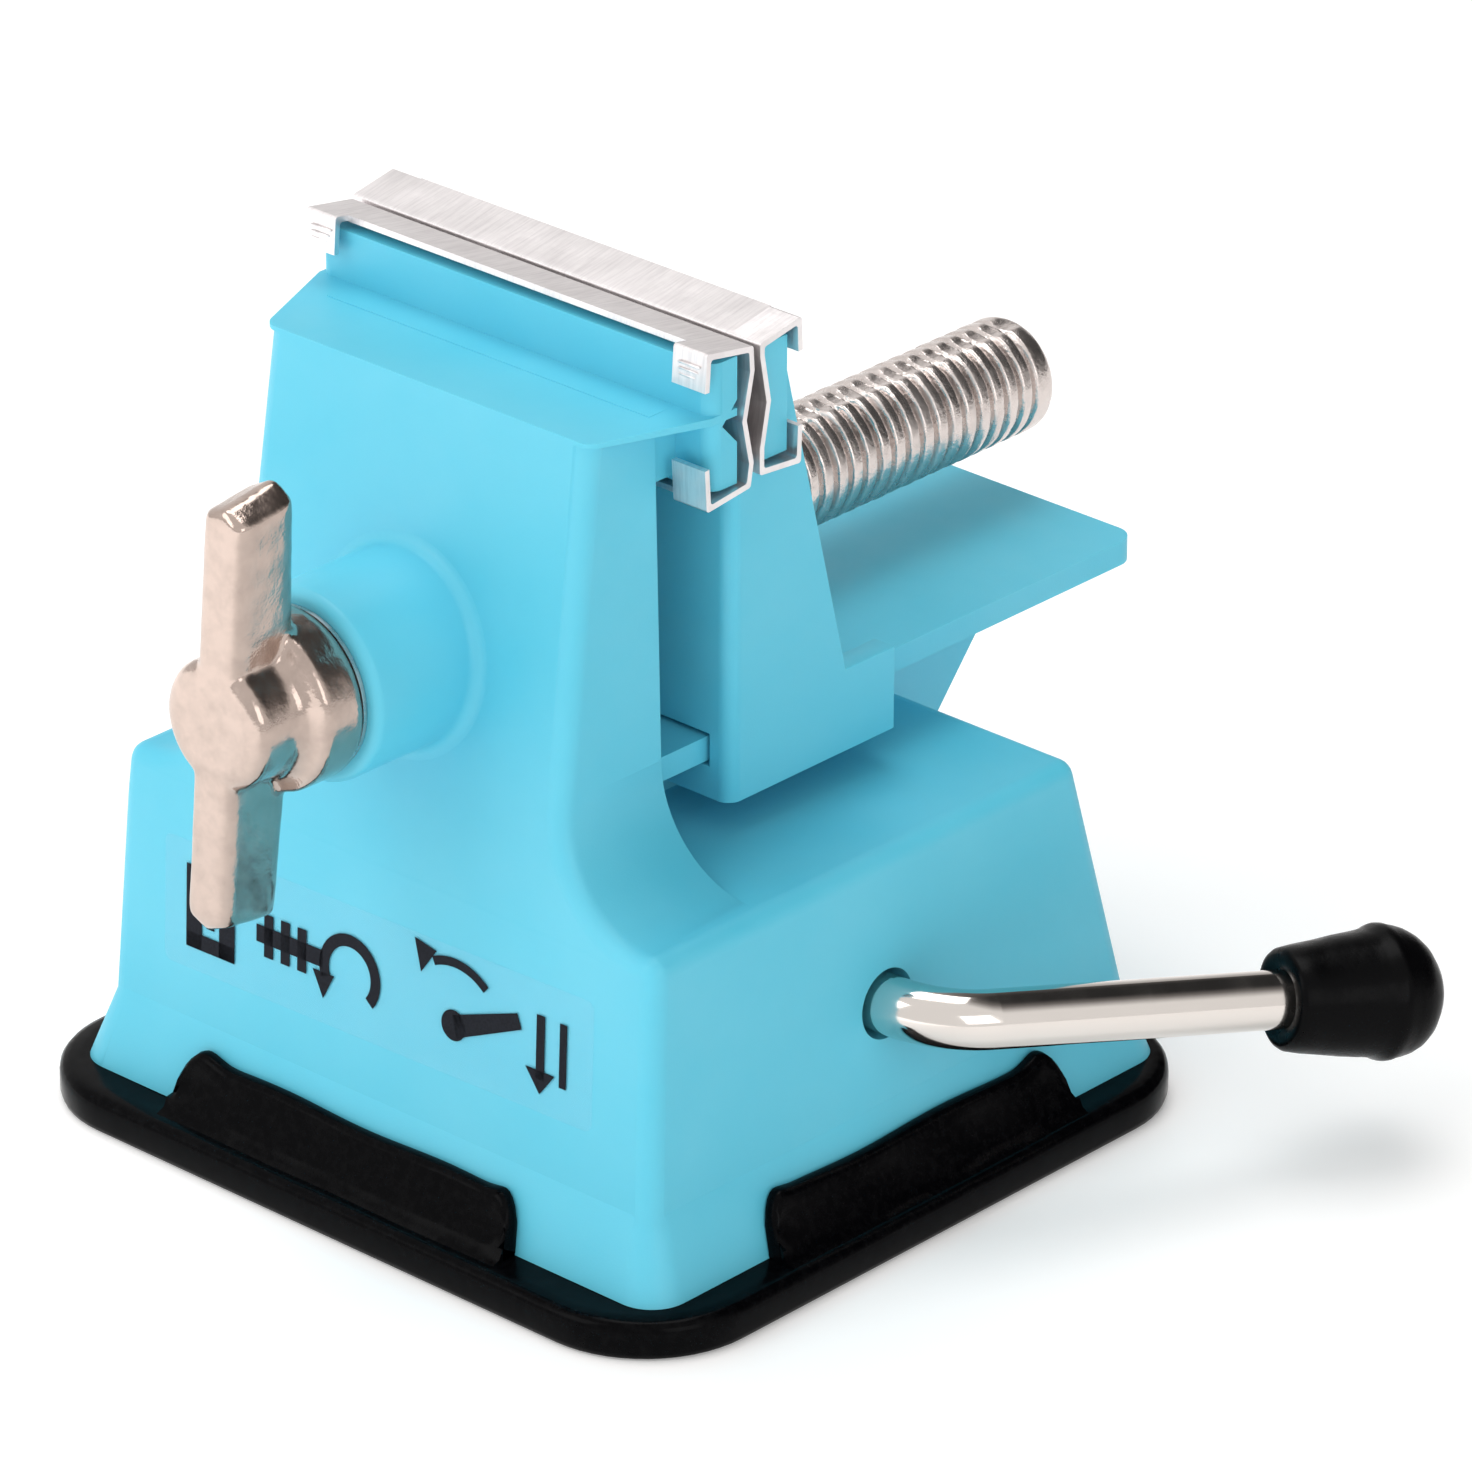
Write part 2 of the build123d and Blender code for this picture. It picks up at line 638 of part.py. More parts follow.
with BuildPart() as lever_rod:
    with BuildLine() as lever_path:
        FilletPolyline(
            (shaft_end, 0, lever_z), bend_at, bend_at + aim * (knob_from + 8.0), radius=lever_bend_r
        )
    with BuildSketch(Plane((shaft_end, 0, lever_z), z_dir=(1, 0, 0))):
        Circle(rod_r)
    sweep(path=lever_path.wires()[0])
    with BuildSketch(Plane.YZ.offset(clip_groove)):
        with Locations((0, lever_z)):
            Circle(rod_r + 1)
            Circle(clip_groove_r, mode=Mode.SUBTRACT)
    extrude(amount=0.5, mode=Mode.SUBTRACT)
    with BuildSketch(Plane.XY):
        Circle(0.77)
    extrude(amount=30, mode=Mode.SUBTRACT)
lever_rod.part.label = "lever_rod"
export_step(lever_rod.part, "parts/lever_rod.step")

knob_face = bend_at + aim * knob_from
dome_from, dome_foot_r, dome_rise = 8.05, 4.18, 3.15
dome_r = (dome_rise**2 + dome_foot_r**2) / (2 * dome_rise)
dome_mid = asin(dome_foot_r / dome_r) / 2

with BuildPart() as lever_knob:
    with BuildSketch(Plane(knob_face, x_dir=aim, z_dir=aim.cross(Vector(0, 0, 1)).normalized())):
        with BuildLine():
            Polyline(
                (8.1, 0), (8.1, rod_r + 0.01), (0, rod_r + 0.01), (0, 3.15), (0.3, 3.43), (6.4, 4.23),
                (6.9, 4.49), (7.6, 4.49), (dome_from, dome_foot_r),
            )
            ThreePointArc(
                (dome_from, dome_foot_r),
                (dome_from + dome_rise - dome_r * (1 - cos(dome_mid)), dome_r * sin(dome_mid)),
                (dome_from + dome_rise, 0),
            )
            Line((dome_from + dome_rise, 0), (8.1, 0))
        make_face()
    revolve(axis=Axis(knob_face, aim))
lever_knob.part.label = "lever_knob"
export_step(lever_knob.part, "parts/lever_knob.step")

for side, name in ((1, "near_bush"), (-1, "far_bush")):
    with BuildPart() as bush:
        with BuildSketch(Plane.YZ):
            with Locations((0, lever_z)):
                Circle(bush_r - 0.02)
                Circle(rod_r + run_clear, mode=Mode.SUBTRACT)
        extrude(amount=rib_out - rib_in)
        with BuildSketch(Plane.YZ.offset(rib_out - rib_in)):
            with Locations((0, lever_z)):
                Circle(4.2)
                Circle(rod_r + run_clear, mode=Mode.SUBTRACT)
        extrude(amount=0.8)
    placed = Pos(side * rib_in, 0, 0) * (bush.part if side > 0 else bush.part.mirror(Plane.YZ))
    placed.label = name
    export_step(placed, f"parts/{name}.step")

with BuildPart() as shaft_washer:
    with BuildSketch(Plane.YZ.offset(-rib_out - 1.2)):
        with Locations((0, lever_z)):
            Circle(4.0)
            Circle(rod_r + 0.01, mode=Mode.SUBTRACT)
    extrude(amount=0.35)
shaft_washer.part.label = "shaft_washer"
export_step(shaft_washer.part, "parts/shaft_washer.step")

with BuildPart() as shaft_clip:
    with BuildSketch(Plane.YZ.offset(clip_groove + 0.05)):
        with Locations((0, lever_z)):
            Circle(3.3)
            Circle(clip_groove_r, mode=Mode.SUBTRACT)
        with Locations((0, lever_z - 2.6)):
            Rectangle(2.0, 3.4, mode=Mode.SUBTRACT)
    extrude(amount=0.4)
shaft_clip.part.label = "shaft_clip"
export_step(shaft_clip.part, "parts/shaft_clip.step")

# --------------------------------------------------- clear printed film, blank
film_low, film_high, film_left, film_right = 12.0, 20.6, -19.2, 18.8
film_t, film_turn = 0.1, 1.3
lean_y = front_y(film_high) - front_y(film_low)
film_up = Vector(0, lean_y, film_high - film_low).normalized()
film_z = (film_low + film_high) / 2
film_mid = Vector((film_left + film_right) / 2, front_y(film_z), film_z)

with BuildPart() as label_film:
    with BuildSketch(Plane(film_mid, x_dir=(1, 0, 0), z_dir=Vector(1, 0, 0).cross(film_up))):
        with Locations(Location((0, 0, 0), (0, 0, film_turn))):
            RectangleRounded(film_right - film_left, 8.9, 0.6)
    extrude(amount=film_t)
label_film.part.label = "label_film"
export_step(label_film.part, "parts/label_film.step")
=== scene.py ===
import json
import math

import bmesh
import bpy
from mathutils import Matrix, Vector, noise

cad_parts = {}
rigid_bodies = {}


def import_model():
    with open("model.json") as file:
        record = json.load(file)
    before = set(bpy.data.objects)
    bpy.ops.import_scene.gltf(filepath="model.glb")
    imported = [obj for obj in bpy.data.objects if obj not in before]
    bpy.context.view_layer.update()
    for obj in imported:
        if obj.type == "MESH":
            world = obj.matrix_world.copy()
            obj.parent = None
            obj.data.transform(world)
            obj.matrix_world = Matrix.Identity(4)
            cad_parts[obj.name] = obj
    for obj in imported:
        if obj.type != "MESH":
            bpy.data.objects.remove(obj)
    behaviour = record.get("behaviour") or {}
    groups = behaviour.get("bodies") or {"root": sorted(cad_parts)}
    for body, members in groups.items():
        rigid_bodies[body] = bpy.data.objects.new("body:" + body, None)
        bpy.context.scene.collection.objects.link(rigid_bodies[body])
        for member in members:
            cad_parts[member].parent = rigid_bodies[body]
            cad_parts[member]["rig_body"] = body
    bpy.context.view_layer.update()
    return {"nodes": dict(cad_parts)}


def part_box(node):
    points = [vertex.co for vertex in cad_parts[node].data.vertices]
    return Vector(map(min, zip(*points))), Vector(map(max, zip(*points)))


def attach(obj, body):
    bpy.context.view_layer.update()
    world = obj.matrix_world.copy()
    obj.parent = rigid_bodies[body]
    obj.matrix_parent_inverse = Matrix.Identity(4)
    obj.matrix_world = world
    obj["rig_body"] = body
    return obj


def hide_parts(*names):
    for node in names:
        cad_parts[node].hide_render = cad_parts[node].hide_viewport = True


# A small circuit-board vise on a suction base.  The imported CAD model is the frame.
# Lengths are written in millimetres and turned into metres as meshes are made.

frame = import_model()

MM = 0.001


def box_mm(node):
    """Lowest and highest corner of a CAD node, in millimetres."""
    low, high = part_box(node)
    return [v / MM for v in low], [v / MM for v in high]


def middle(node):
    low, high = box_mm(node)
    return [(a + b) / 2 for a, b in zip(low, high)]


# ------------------------------------------------------------------ materials
def new_material(name, color, rough, metal=0.0):
    """A Principled material, with its node tree and its shader for further nodes."""
    mat = bpy.data.materials.new(name)
    mat.use_nodes = True
    shader = mat.node_tree.nodes["Principled BSDF"]
    shader.inputs["Base Color"].default_value = (*color, 1)
    shader.inputs["Roughness"].default_value = rough
    shader.inputs["Metallic"].default_value = metal
    return mat, mat.node_tree, shader


def add_node(tree, kind, **settings):
    node = tree.nodes.new(kind)
    for key, value in settings.items():
        setattr(node, key, value)
    return node


def coords(tree, scale=(1, 1, 1)):
    """Object coordinates in millimetres, stretched by scale."""
    where = add_node(tree, "ShaderNodeTexCoord")
    mapping = add_node(tree, "ShaderNodeMapping")
    mapping.inputs["Scale"].default_value = [s / MM for s in scale]
    tree.links.new(where.outputs["Object"], mapping.inputs["Vector"])
    return mapping.outputs["Vector"]


def noise_node(tree, vector, scale, detail=3, rough=0.5):
    node = add_node(tree, "ShaderNodeTexNoise")
    node.inputs["Scale"].default_value = scale
    node.inputs["Detail"].default_value = detail
    node.inputs["Roughness"].default_value = rough
    tree.links.new(vector, node.inputs["Vector"])
    return node.outputs["Fac"]


def ramp(tree, value, stops):
    """A colour ramp over value; stops are (position, colour)."""
    node = add_node(tree, "ShaderNodeValToRGB")
    marks = node.color_ramp.elements
    while len(marks) < len(stops):
        marks.new(0.5)
    for mark, (at, color) in zip(marks, stops):
        mark.position = at
        mark.color = (*color, 1)
    tree.links.new(value, node.inputs["Fac"])
    return node.outputs["Color"]


def grey(level):
    return (level, level, level)


def bump(tree, shader, height, strength, distance, after=None):
    """Relief from a height, distance in millimetres, laid over the relief in after."""
    node = add_node(tree, "ShaderNodeBump")
    node.inputs["Strength"].default_value = strength
    node.inputs["Distance"].default_value = distance * MM
    tree.links.new(height, node.inputs["Height"])
    if after:
        tree.links.new(after, node.inputs["Normal"])
    tree.links.new(node.outputs["Normal"], shader.inputs["Normal"])
    return node.outputs["Normal"]


def blue_plastic():
    """Light blue ABS: fine satin grain and faint mottling."""
    mat, tree, shader = new_material("blue_plastic", (0.085, 0.54, 0.7), 0.46)
    shader.inputs["Subsurface Weight"].default_value = 0.1
    shader.inputs["Subsurface Radius"].default_value = (0.3, 1.0, 1.4)
    shader.inputs["Subsurface Scale"].default_value = 1.0 * MM
    shader.inputs["Specular IOR Level"].default_value = 0.5
    mottled = ramp(
        tree, noise_node(tree, coords(tree), 0.09, 4),
        [(0.3, (0.09, 0.53, 0.70)), (0.7, (0.115, 0.555, 0.72))],
    )
    tree.links.new(mottled, shader.inputs["Base Color"])
    glossy = ramp(
        tree, noise_node(tree, coords(tree), 0.35, 5), [(0.3, grey(0.42)), (0.75, grey(0.54))]
    )
    tree.links.new(glossy, shader.inputs["Roughness"])
    bump(tree, shader, noise_node(tree, coords(tree), 7.0, 4, 0.6), 0.16, 0.05)
    return mat


def cast_nickel(name, tint, low, high, grain, depth, streak=(1, 1, 1)):
    """Plated die casting: mirror patches in a slightly pitted, flow-marked skin."""
    mat, tree, shader = new_material(name, tint, low, 0.94)
    flow = noise_node(tree, coords(tree, streak), 0.5, 4, 0.55)
    rough = ramp(tree, flow, [(0.35, grey(low)), (0.7, grey(high))])
    tree.links.new(rough, shader.inputs["Roughness"])
    stained = ramp(
        tree, noise_node(tree, coords(tree), 0.8, 5, 0.6),
        [(0.3, tuple(0.86 * c for c in tint)), (0.6, tint)],
    )
    tree.links.new(stained, shader.inputs["Base Color"])
    wavy = bump(tree, shader, flow, 0.2, 0.06)
    bump(tree, shader, noise_node(tree, coords(tree), grain, 3, 0.6), 0.4, depth, wavy)
    return mat


def satin_aluminium():
    """Pressed sheet: fine lines across it and a soft, slightly warm sheen."""
    mat, tree, shader = new_material("satin_aluminium", (0.80, 0.765, 0.765), 0.36, 0.92)
    lines = noise_node(tree, coords(tree, (5, 0.35, 0.35)), 1.0, 4, 0.6)
    cloudy = noise_node(tree, coords(tree, (0.3, 0.5, 0.5)), 1.0, 3)
    rough = ramp(tree, cloudy, [(0.3, grey(0.30)), (0.7, grey(0.46))])
    tree.links.new(rough, shader.inputs["Roughness"])
    tone = ramp(tree, lines, [(0.25, (0.68, 0.645, 0.65)), (0.6, (0.83, 0.795, 0.795))])
    tree.links.new(tone, shader.inputs["Base Color"])
    pressed = bump(tree, shader, lines, 0.3, 0.03)
    bump(tree, shader, noise_node(tree, coords(tree), 1.6, 2), 0.25, 0.05, pressed)
    return mat


def black_rubber():
    """Glossy soft rubber with a bloom of dust and shallow ripples."""
    mat, tree, shader = new_material("black_rubber", (0.0015, 0.0015, 0.002), 0.2)
    shader.inputs["Specular IOR Level"].default_value = 0.045
    dusty = noise_node(tree, coords(tree), 1.5, 6, 0.7)
    rough = ramp(tree, dusty, [(0.35, grey(0.12)), (0.72, grey(0.27))])
    tree.links.new(rough, shader.inputs["Roughness"])
    tone = ramp(tree, dusty, [(0.45, (0.001, 0.001, 0.0014)), (0.8, (0.004, 0.004, 0.0045))])
    tree.links.new(tone, shader.inputs["Base Color"])
    ripple = bump(tree, shader, noise_node(tree, coords(tree), 0.35, 2), 0.3, 0.15)
    bump(tree, shader, noise_node(tree, coords(tree), 9.0, 3), 0.12, 0.03, ripple)
    return mat


def black_grip():
    """Dipped vinyl knob: gloss with a soft orange-peel surface."""
    mat, tree, shader = new_material("black_grip", (0.0015, 0.0015, 0.0018), 0.28)
    shader.inputs["Specular IOR Level"].default_value = 0.06
    peel = noise_node(tree, coords(tree), 0.9, 3)
    rough = ramp(tree, peel, [(0.3, grey(0.22)), (0.7, grey(0.36))])
    tree.links.new(rough, shader.inputs["Roughness"])
    bump(tree, shader, peel, 0.3, 0.1)
    return mat


def bright_steel():
    """Nickel-plated steel wire, drawn along its length."""
    mat, tree, shader = new_material("bright_steel", (0.74, 0.69, 0.65), 0.09, 1.0)
    drawn = noise_node(tree, coords(tree, (0.4, 0.4, 0.4)), 1.0, 4)
    rough = ramp(tree, drawn, [(0.3, grey(0.06)), (0.75, grey(0.17))])
    tree.links.new(rough, shader.inputs["Roughness"])
    bump(tree, shader, drawn, 0.2, 0.03)
    return mat


def zinc_steel():
    mat, tree, shader = new_material("zinc_steel", (0.62, 0.61, 0.60), 0.3, 1.0)
    cloudy = noise_node(tree, coords(tree), 0.7, 4)
    tree.links.new(
        ramp(tree, cloudy, [(0.3, grey(0.22)), (0.7, grey(0.42))]), shader.inputs["Roughness"]
    )
    bump(tree, shader, noise_node(tree, coords(tree), 3.0, 3), 0.2, 0.03)
    return mat


def white_acetal():
    mat, tree, shader = new_material("white_acetal", (0.80, 0.79, 0.76), 0.4)
    cloudy = noise_node(tree, coords(tree), 0.4, 3)
    tree.links.new(
        ramp(tree, cloudy, [(0.3, (0.76, 0.75, 0.72)), (0.7, (0.83, 0.82, 0.80))]),
        shader.inputs["Base Color"],
    )
    bump(tree, shader, noise_node(tree, coords(tree), 4.0, 3), 0.15, 0.04)
    return mat


def clear_film():
    """Clear glossy label stock, all but invisible except for its sheen and edge."""
    mat, tree, shader = new_material("clear_film", (0.45, 0.75, 0.88), 0.3)
    shader.inputs["Alpha"].default_value = 0.05
    shader.inputs["Specular IOR Level"].default_value = 0.5
    wavy = noise_node(tree, coords(tree), 0.25, 2)
    tree.links.new(
        ramp(tree, wavy, [(0.3, grey(0.2)), (0.7, grey(0.3))]), shader.inputs["Roughness"]
    )
    bump(tree, shader, wavy, 0.15, 0.1)
    return mat


def printed_ink():
    mat, tree, shader = new_material("printed_ink", (0.006, 0.007, 0.012), 0.6)
    shader.inputs["Specular IOR Level"].default_value = 0.12
    speckle = noise_node(tree, coords(tree), 6.0, 4)
    tree.links.new(
        ramp(tree, speckle, [(0.3, (0.005, 0.006, 0.01)), (0.75, (0.011, 0.013, 0.02))]),
        shader.inputs["Base Color"],
    )
    return mat


BLUE = blue_plastic()
NICKEL = cast_nickel("cast_nickel", (0.51, 0.41, 0.36), 0.09, 0.24, 2.2, 0.05)
THREAD = cast_nickel("cast_thread", (0.72, 0.65, 0.62), 0.18, 0.34, 3.4, 0.09)
ALUMINIUM = satin_aluminium()
RUBBER = black_rubber()
GRIP = black_grip()
STEEL = bright_steel()
ZINC = zinc_steel()
ACETAL = white_acetal()
FILM = clear_film()
INK = printed_ink()

NODE_MATERIALS = {
    "body_housing": BLUE, "moving_jaw": BLUE, "clamp_screw": NICKEL, "jaw_nut": ZINC,
    "fixed_jaw_liner": ALUMINIUM, "moving_jaw_liner": ALUMINIUM, "collar_washer": ZINC,
    "wall_washer": ZINC, "screw_clip": ZINC, "suction_pad": RUBBER, "pad_plate": ZINC,
    "suction_stem": ACETAL, "stem_rivet": ZINC, "eccentric_cam": ACETAL, "cam_pin": ZINC,
    "lever_rod": STEEL, "lever_knob": GRIP, "near_bush": ACETAL, "far_bush": ACETAL,
    "shaft_washer": ZINC, "shaft_clip": ZINC, "label_film": FILM,
}
for name, node in frame["nodes"].items():
    node.data.materials.clear()
    node.data.materials.append(NODE_MATERIALS[name])


# -------------------------------------------------------------- mesh helpers
def make_object(name, verts, faces, mat, body, sharp=35):
    """A mesh in millimetres, made into a piece that rides on a body."""
    mesh = bpy.data.meshes.new(name)
    mesh.from_pydata([Vector(v) * MM for v in verts], [], faces)
    return finish_piece(name, mesh, mat, body, sharp)


def finish_piece(name, mesh, mat, body, sharp=35):
    """A mesh in metres, welded, shaded and coloured, made into a piece that rides on a body."""
    mesh.validate()
    tidy = bmesh.new()
    tidy.from_mesh(mesh)
    bmesh.ops.remove_doubles(tidy, verts=tidy.verts, dist=0.001 * MM)
    bmesh.ops.recalc_face_normals(tidy, faces=tidy.faces)
    tidy.to_mesh(mesh)
    tidy.free()
    mesh.polygons.foreach_set("use_smooth", [True] * len(mesh.polygons))
    mesh.set_sharp_from_angle(angle=math.radians(sharp))
    mesh.materials.clear()
    mesh.materials.append(mat)
    obj = bpy.data.objects.new(name, mesh)
    bpy.context.scene.collection.objects.link(obj)
    if body:
        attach(obj, body)
    return obj


# A face this large, in square millimetres, is a wall and is shaded flat.  An edge is rounded when
# it bends by more than this many degrees, or by the smaller number between two walls.
BROAD_AREA, CORNER_BEND, WALL_BEND = 30, 32, 5


def rounded_copy(name, node, mat, radius, segments=2):
    """The CAD node's own shape with its corners rounded off and its broad walls kept flat."""
    mesh = bpy.data.meshes.new(name)
    shape = bmesh.new()
    shape.from_mesh(frame["nodes"][node].data)
    bmesh.ops.remove_doubles(shape, verts=shape.verts, dist=0.002 * MM)
    bmesh.ops.dissolve_limit(
        shape, angle_limit=math.radians(0.15), verts=shape.verts, edges=shape.edges
    )
    weight = shape.edges.layers.float.new("bevel_weight_edge")
    broad = BROAD_AREA * MM * MM
    for edge in shape.edges:
        if len(edge.link_faces) == 2:
            bend = math.degrees(edge.calc_face_angle(0))
            between_walls = min(face.calc_area() for face in edge.link_faces) > broad
            if bend > CORNER_BEND or (bend > WALL_BEND and between_walls):
                edge[weight] = 1.0
    shape.to_mesh(mesh)
    shape.free()
    obj = finish_piece(name, mesh, mat, frame["nodes"][node]["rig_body"], 50)
    bevel = obj.modifiers.new("soft_edges", "BEVEL")
    bevel.width = radius * MM
    bevel.segments = segments
    bevel.limit_method = "WEIGHT"
    bevel.miter_outer = "MITER_ARC"
    for face in mesh.polygons:
        face.use_smooth = face.area < broad
    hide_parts(node)
    return obj


# ------------------------------------------------- plastic mouldings and sheet liners
PLASTIC_EDGE, SHEET_EDGE = 0.25, 0.09
rounded_copy("housing_shell", "body_housing", BLUE, PLASTIC_EDGE)
rounded_copy("sliding_jaw", "moving_jaw", BLUE, PLASTIC_EDGE)
rounded_copy("front_liner", "fixed_jaw_liner", ALUMINIUM, SHEET_EDGE)
rounded_copy("rear_liner", "moving_jaw_liner", ALUMINIUM, SHEET_EDGE)


# ---------------------------------------------------------- shapes built by hand
def grid_faces(rows, cols, wrap_rows=False, wrap_cols=False):
    """Quads of a grid of rows x cols vertices stored row by row."""
    faces = []
    for i in range(rows if wrap_rows else rows - 1):
        for j in range(cols if wrap_cols else cols - 1):
            a, b = i * cols + j, i * cols + (j + 1) % cols
            c, d = ((i + 1) % rows) * cols + (j + 1) % cols, ((i + 1) % rows) * cols + j
            faces.append((a, b, c, d))
    return faces


def lathe(profile, origin, axis, count=72, wobble=0.0):
    """Closed solid of revolution: profile is (along, radius) from end to end."""
    axis = Vector(axis).normalized()
    across = axis.orthogonal().normalized()
    other = axis.cross(across)
    verts = []
    for along, radius in profile:
        for k in range(count):
            turn = 2 * math.pi * k / count
            out = across * math.cos(turn) + other * math.sin(turn)
            place = Vector(origin) + axis * along + out * radius
            place += out * wobble * noise.noise(place * 0.35) * min(1, radius)
            verts.append(place)
    faces = grid_faces(len(profile), count, wrap_cols=True)
    faces.append(tuple(range(count)))
    faces.append(tuple(range(len(verts) - count, len(verts))))
    return verts, faces


def closed_mesh(name, parts):
    """One mesh of several closed shells, in millimetres turned to metres."""
    verts, faces = [], []
    for more, loops in parts:
        start = len(verts)
        verts += [Vector(v) * MM for v in more]
        faces += [tuple(start + i for i in loop) for loop in loops]
    mesh = bpy.data.meshes.new(name)
    mesh.from_pydata(verts, [], faces)
    return mesh


def fused(mesh, voxel, rounds, grain, depth):
    """The shells of a mesh grown into one soft skin, then given the ripple of a casting."""
    obj = bpy.data.objects.new("fusing", mesh)
    bpy.context.scene.collection.objects.link(obj)
    grow = obj.modifiers.new("grow", "REMESH")
    grow.mode = "VOXEL"
    grow.voxel_size = voxel * MM
    calm = obj.modifiers.new("calm", "SMOOTH")
    calm.iterations = rounds
    calm.factor = 0.5
    ready = obj.evaluated_get(bpy.context.evaluated_depsgraph_get())
    skin = bpy.data.meshes.new_from_object(ready)
    bpy.data.objects.remove(obj)
    shifts = [
        v.normal * depth * MM * noise.fractal(v.co / MM / grain, 1.0, 2.0, 3) for v in skin.vertices
    ]
    for vert, shift in zip(skin.vertices, shifts):
        vert.co += shift
    return skin


# ------------------------------------------------- clamp screw: handle and shank
screw_low, screw_high = box_mm("clamp_screw")
screw_z = middle("wall_washer")[2]
hub_front = screw_low[1]
collar_rear = box_mm("collar_washer")[0][1] - 0.05
lean = math.radians(4.7)
wing_up = Vector((math.sin(lean), 0, math.cos(lean)))
wing_side = Vector((math.cos(lean), 0, -math.sin(lean)))
screw_axis = Vector((0, 1, 0))

# The wings, measured from the screw's axis, with their depth measured along it
WING_LOW, WING_HIGH, WING_SPAN = -14.75, 15.35, 15.2
WING_DEPTH, WING_TAPER, WING_HALF_THICK, WING_TIP_R = 5.75, 0.75, 1.78, 1.1
# Powers well below 1 fill out the corners of the blade's section
FACE_FULLNESS, EDGE_FULLNESS = 0.42, 0.34


def wing(reach_low, reach_high, rows=40, cols=28):
    """A tapered blade with full, rounded edges, thinner in the middle of its faces."""
    verts = []
    for i in range(rows):
        t = i / (rows - 1)
        up_at = reach_low + (reach_high - reach_low) * t
        far = abs(up_at) / WING_SPAN
        front = hub_front + 0.05 + 0.25 * max(0, far - 0.85)
        rear = hub_front + WING_DEPTH - WING_TAPER * far
        end = min(1, min(up_at - reach_low, reach_high - up_at) / WING_TIP_R)
        shrink = math.sqrt(max(0.0, 1 - (1 - end) ** 2)) * 0.86 + 0.14 if end < 1 else 1.0
        half_t = WING_HALF_THICK * shrink
        half_d = (rear - front) / 2 * (0.88 + 0.12 * shrink)
        for j in range(cols):
            turn = 2 * math.pi * j / cols
            c, n = math.cos(turn), math.sin(turn)
            x = half_t * math.copysign(abs(c) ** FACE_FULLNESS, c)
            y = half_d * math.copysign(abs(n) ** EDGE_FULLNESS, n)
            tip = 0.9 * (up_at / 15) * (y / half_d) * max(0, far - 0.6)
            middle_line = Vector((0, (front + rear) / 2 + y, screw_z))
            verts.append(middle_line + wing_side * x + wing_up * (up_at + tip))
    faces = grid_faces(rows, cols, wrap_cols=True)
    faces += [tuple(range(cols)), tuple(range(len(verts) - cols, len(verts)))]
    return verts, faces


# Hub, then the wider collar behind it: (along, radius), stretched to fill the CAD's length
HUB_PROFILE = [
    (0.0, 1.2), (0.0, 3.0), (0.1, 3.6), (0.35, 4.05), (0.8, 4.3), (3.1, 4.33), (3.7, 4.5),
    (4.1, 4.9), (4.3, 5.3), (4.45, 5.62), (4.8, 5.8), (7.3, 5.8), (7.65, 5.68), (7.8, 5.4),
    (7.8, 1.2),
]
hub_length, drawn_length = collar_rear - hub_front, HUB_PROFILE[-1][0]
hub_profile = [(along * hub_length / drawn_length, radius) for along, radius in HUB_PROFILE]
handle_parts = [
    lathe(hub_profile, (0, hub_front, screw_z), screw_axis, 64),
    wing(WING_LOW, WING_HIGH),
]
handle_skin = fused(
    closed_mesh("handle_parts", handle_parts), voxel=0.21, rounds=6, grain=2.8, depth=0.03
)
handle = finish_piece("wing_handle", handle_skin, NICKEL, "screw", 60)
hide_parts("clamp_screw")

# Shank with its cast thread: broad crests, narrow valleys, flats along the parting line
PITCH, CREST, ROOT, CLIP_GROOVE = 1.4, 4.05, 3.48, 3.2
CREST_SHARE, FLANK_SHARE = 0.52, 0.36
RUN_IN, RUN_OUT, PLAIN_END = 0.7, 0.6, 1.7
TIP_LENGTH, TIP_DROP, CAP_RISE = 1.0, 1.05, 0.12
FLAT_RADIUS, FLAT_REACH = 3.78, 0.20
thread_from = box_mm("wall_washer")[1][1] + 2.55
shank_end = screw_high[1]
clip_front, clip_rear = (corner[1] for corner in box_mm("screw_clip"))


def shank_radius(y, turn):
    """Radius of the shank at y, turn radians round from straight up."""
    if clip_front - 0.05 < y < clip_rear + 0.05:
        return CLIP_GROOVE
    if y < thread_from:
        return CREST
    wave = ((y - thread_from) / PITCH + turn / (2 * math.pi)) % 1.0
    crest = abs(wave - 0.5) * 2
    valley = min(1.0, max(0.0, (crest - CREST_SHARE) / FLANK_SHARE))
    valley = valley * valley * (3 - 2 * valley)
    bulge = 0.05 * (1 - crest)
    depth = (CREST - ROOT) * valley
    fade = min(1, (y - thread_from) / RUN_IN, max(0, shank_end - PLAIN_END - y) / RUN_OUT)
    radius = CREST - 0.06 + bulge - depth * max(0, fade)
    past = (y - (shank_end - TIP_LENGTH)) / TIP_LENGTH
    if past > 0:
        radius -= TIP_DROP * (1 - math.sqrt(max(0, 1 - past * past)))
    off_line = abs(math.sin(turn - lean))
    seam = math.exp(-((off_line / FLAT_REACH) ** 4))
    flat = FLAT_RADIUS / max(0.75, abs(math.cos(turn - lean)))
    return radius + (min(radius, flat) - radius) * seam + 0.35 * seam * depth * fade


ring = 120


def around_screw(k):
    """Angle and outward direction of vertex k of a ring round the screw."""
    turn = 2 * math.pi * k / ring
    return turn, Vector((math.sin(turn), 0, math.cos(turn)))


